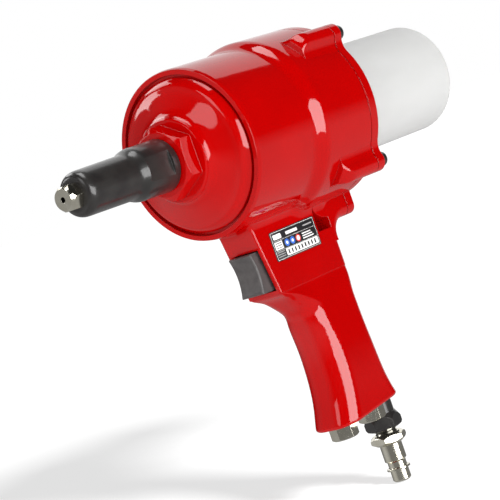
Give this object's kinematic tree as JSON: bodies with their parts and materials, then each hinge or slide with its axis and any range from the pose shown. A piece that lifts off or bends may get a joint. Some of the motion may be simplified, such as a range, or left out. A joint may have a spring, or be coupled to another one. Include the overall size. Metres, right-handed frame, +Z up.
{
  "type": "pneumatic hand riveter",
  "caption": "Pistol-grip compressed-air blind riveter with a round double-piston barrel, slim nose, sliding trigger, mandrel collector bottle and swivel air plug.",
  "frame": {"origin": "centre of the nosepiece's front face, where the rivet flange rests; the pulling axis is the X axis", "axes": "+X forwards out of the nose along the pulling axis, +Y the tool's left side, +Z up, the grip hanging towards -Z"},
  "size_m": [0.3143, 0.103, 0.2671],
  "materials": {
    "red_paint": "gloss enamel on cast aluminium",
    "black_steel": "satin black oxide",
    "nickel": "bright nickel plate",
    "tool_steel": "ground and hardened",
    "spring_steel": "oiled",
    "aluminium": "machined",
    "bronze": "machined",
    "rubber": "matt",
    "gasket": "matt",
    "trigger_plastic": "satin moulded",
    "bottle_plastic": "frosted translucent",
    "plate": null
  },
  "bodies": {
    "housing": {"main_body": "red_paint", "front_cover": "red_paint", "front_cover_seal": "rubber", "front_rod_seal": "rubber", "frame_head": "black_steel", "nosepiece": "nickel", "wall_bush": "bronze", "wall_seal": "rubber", "rear_gasket": "gasket", "rear_cover": "red_paint", "cover_screws": "black_steel", "tail_seal": "rubber", "bottle_seal": "rubber", "valve_bush": "bronze", "rating_plate": "plate", "exhaust_plug": "nickel", "passage_plug": "nickel", "inlet_bush": "black_steel", "return_spring": "spring_steel", "valve_spring": "spring_steel"},
    "pull_unit": {"jaw_housing": "tool_steel", "piston_rod": "tool_steel", "front_piston": "aluminium", "front_piston_seal": "rubber", "spacer_tube": "tool_steel", "rear_piston": "aluminium", "rear_piston_seal": "rubber", "piston_nut": "tool_steel", "jaw_spring": "spring_steel"},
    "pusher": {"jaw_pusher": "tool_steel"},
    "jaw_left": {"jaw_a": "tool_steel"},
    "jaw_high": {"jaw_b": "tool_steel"},
    "jaw_low": {"jaw_c": "tool_steel"},
    "trigger": {"trigger": "trigger_plastic"},
    "valve": {"valve_spool": "aluminium", "spool_seals": "rubber"},
    "bottle": {"collector_bottle": "bottle_plastic"},
    "plug": {"air_plug": "nickel"}
  },
  "joints": [
    {"name": "pull_stroke", "type": "slide", "parent": "housing", "child": "pull_unit", "axis": [-1, 0, 0], "range_m": [0, 0.018], "stiffness_N_per_m": 2500, "springref_m": -0.012, "deforming": ["return_spring"]},
    {"name": "jaw_close", "type": "slide", "parent": "pull_unit", "child": "pusher", "axis": [1, 0, 0], "range_m": [0, 0.0025], "deforming": ["jaw_spring"]},
    {"name": "jaw_left_slide", "type": "slide", "parent": "pull_unit", "child": "jaw_left", "axis": [0.9781, -0.2079, 0], "range_m": [0, 0.0026]},
    {"name": "jaw_high_slide", "type": "slide", "parent": "pull_unit", "child": "jaw_high", "axis": [0.9781, 0.104, -0.1801], "range_m": [0, 0.0026]},
    {"name": "jaw_low_slide", "type": "slide", "parent": "pull_unit", "child": "jaw_low", "axis": [0.9781, 0.104, 0.1801], "range_m": [0, 0.0026]},
    {"name": "trigger_pull", "type": "slide", "parent": "housing", "child": "trigger", "axis": [-1, 0, 0], "range_m": [0, 0.004], "stiffness_N_per_m": 900, "springref_m": -0.003},
    {"name": "valve_slide", "type": "slide", "parent": "housing", "child": "valve", "axis": [-1, 0, 0], "range_m": [0, 0.004], "deforming": ["valve_spring"]},
    {"name": "bottle_pull", "type": "slide", "parent": "housing", "child": "bottle", "axis": [-1, 0, 0], "range_m": [0, 0.045]},
    {"name": "plug_swivel", "type": "hinge", "parent": "housing", "child": "plug", "pos_m": [-0.182, 0, -0.19], "axis": [0, 0, -1], "continuous": true}
  ],
  "couplings": [
    {"joint": "jaw_close", "follows": "pull_stroke", "ratio": 0.13889},
    {"joint": "jaw_left_slide", "follows": "pull_stroke", "ratio": 0.14199},
    {"joint": "jaw_high_slide", "follows": "pull_stroke", "ratio": 0.14199},
    {"joint": "jaw_low_slide", "follows": "pull_stroke", "ratio": 0.14199},
    {"joint": "valve_slide", "follows": "trigger_pull", "ratio": 1}
  ]
}
